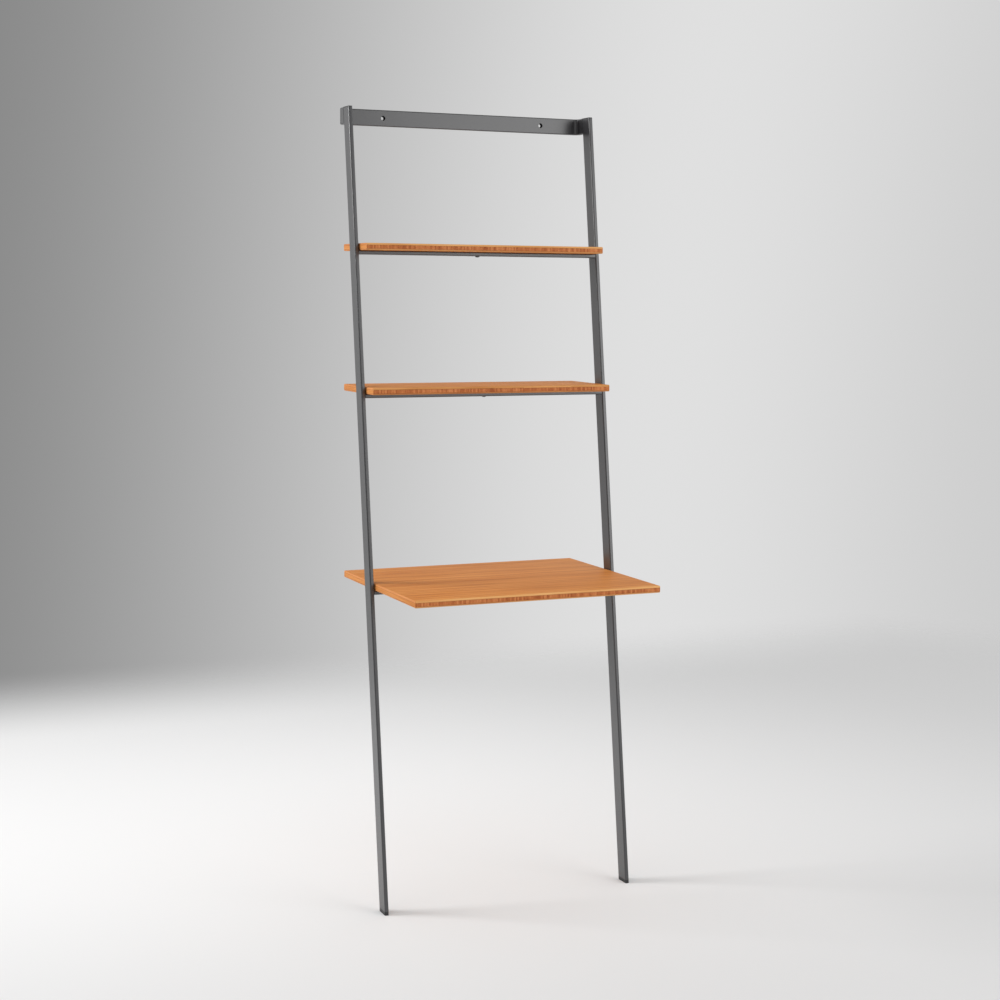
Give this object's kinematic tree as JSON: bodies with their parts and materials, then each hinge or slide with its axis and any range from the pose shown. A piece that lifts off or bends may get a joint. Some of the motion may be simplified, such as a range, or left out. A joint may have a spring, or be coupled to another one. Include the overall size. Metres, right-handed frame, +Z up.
{
  "type": "ladder desk",
  "caption": "Leaning ladder desk: two slim rectangular steel legs and a bar bent to the wall, with a deep bamboo desk board and shallower bamboo shelves above it.",
  "frame": {"origin": "on the floor, midway across the frame and midway between the desk board's front edge and the wall", "axes": "+Z up; +Y towards the wall; the user sits on the -Y side; +X to that user's right"},
  "size_m": [0.622, 0.48, 1.83],
  "materials": {
    "frame_steel": "satin dark graphite powder coat",
    "bamboo_ply": "satin lacquered caramel bamboo, three layers with a darker core",
    "cap_plastic": "moulded dark graphite plastic",
    "foot_rubber": "matt black rubber",
    "screw_steel": "black oxide",
    "insert_brass": "plain turned brass"
  },
  "bodies": {
    "root": {"left_leg": "frame_steel", "left_leg_top_cap": "cap_plastic", "left_foot_cap": "cap_plastic", "left_foot_pad": "foot_rubber", "right_leg": "frame_steel", "right_leg_top_cap": "cap_plastic", "right_foot_cap": "cap_plastic", "right_foot_pad": "foot_rubber", "wall_bar": "frame_steel", "top_shelf_crossbar": "frame_steel", "top_shelf_rear_left_bearer": "frame_steel", "top_shelf_rear_right_bearer": "frame_steel", "top_shelf_board": "bamboo_ply", "top_shelf_screws": "screw_steel", "top_shelf_inserts": "insert_brass", "middle_shelf_crossbar": "frame_steel", "middle_shelf_rear_left_bearer": "frame_steel", "middle_shelf_rear_right_bearer": "frame_steel", "middle_shelf_board": "bamboo_ply", "middle_shelf_screws": "screw_steel", "middle_shelf_inserts": "insert_brass", "desk_crossbar": "frame_steel", "desk_rear_left_bearer": "frame_steel", "desk_front_left_bearer": "frame_steel", "desk_rear_right_bearer": "frame_steel", "desk_front_right_bearer": "frame_steel", "desk_board": "bamboo_ply", "desk_screws": "screw_steel", "desk_inserts": "insert_brass"}
  },
  "joints": []
}
